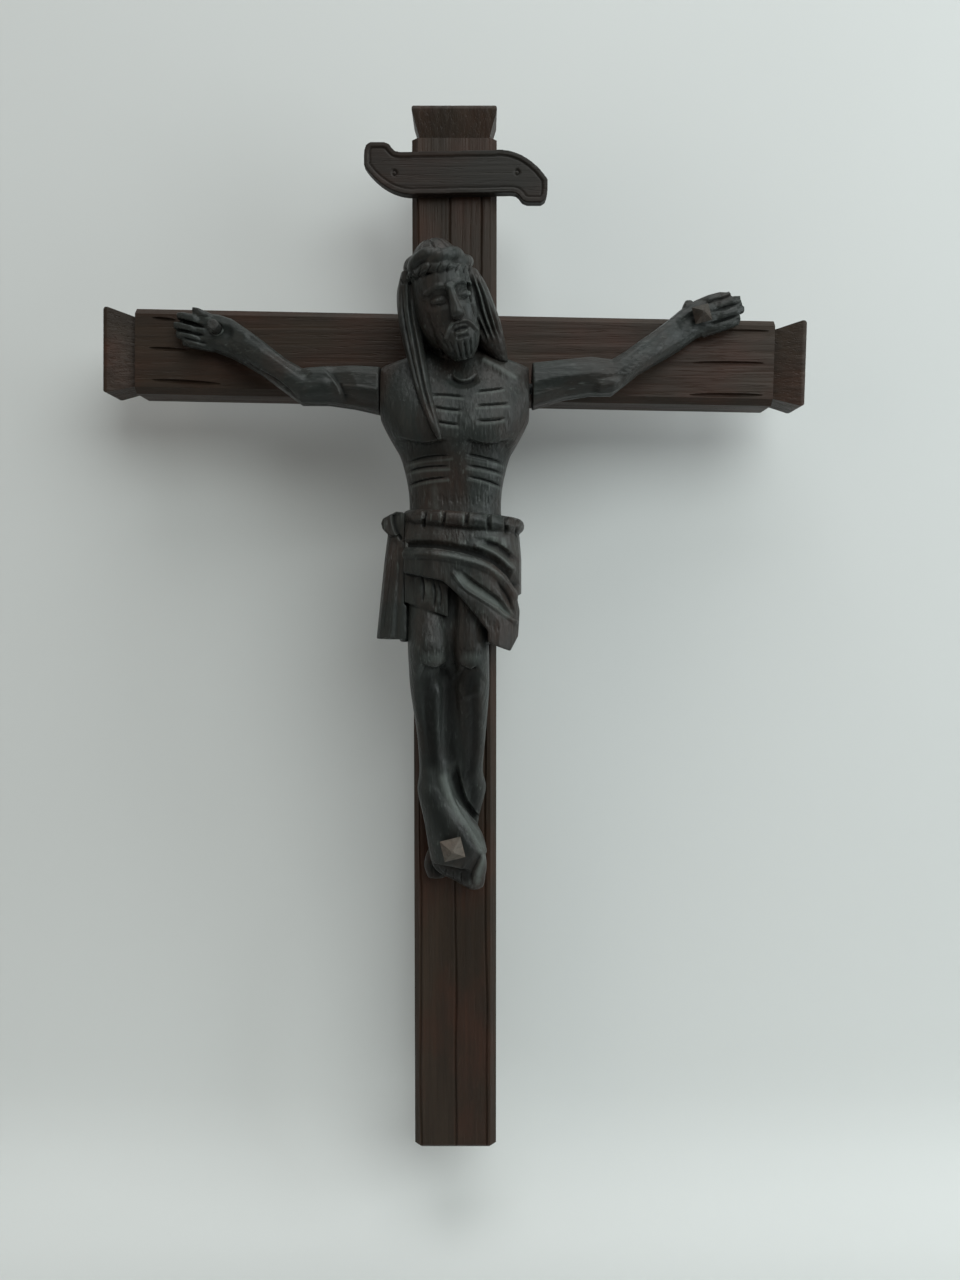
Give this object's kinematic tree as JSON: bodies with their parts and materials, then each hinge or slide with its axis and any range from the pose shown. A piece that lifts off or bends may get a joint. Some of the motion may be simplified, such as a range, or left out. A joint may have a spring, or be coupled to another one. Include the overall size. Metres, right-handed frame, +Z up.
{
  "type": "wall crucifix",
  "caption": "Carved dark wooden wall crucifix: lapped cross with flared ends, carved figure with pegged-on arms, bare scroll and wooden nails, hung on a blind hole in its back.",
  "frame": {"origin": "mouth of the hanging hole, on the back face of the upright post, 61.6 mm below the post's top", "axes": "+Z up along the post, +Y out of the hanging hole towards the wall, +X to the viewer's right"},
  "size_m": [0.4018, 0.0879, 0.602],
  "materials": {
    "beam_wood": "dark stained, satin",
    "corpus_wood": "near-black stained, satin, knife-cut",
    "scroll_wood": "dark stained, satin",
    "pale_nail_wood": "bare, weathered",
    "dark_nail_wood": "dark stained",
    "peg_wood": "bare",
    "screw_steel": "plain"
  },
  "bodies": {
    "root": {"upright_post": "beam_wood", "crossbeam": "beam_wood", "lap_pegs": "peg_wood", "title_scroll": "scroll_wood", "title_pegs": "peg_wood", "corpus_body": "corpus_wood", "right_arm": "corpus_wood", "left_arm": "corpus_wood", "right_shoulder_dowel": "peg_wood", "left_shoulder_dowel": "peg_wood", "loincloth_fall": "corpus_wood", "loincloth_dowels": "peg_wood", "right_hand_nail": "dark_nail_wood", "left_hand_nail": "pale_nail_wood", "foot_nail": "pale_nail_wood", "corpus_screws": "screw_steel"}
  },
  "joints": []
}
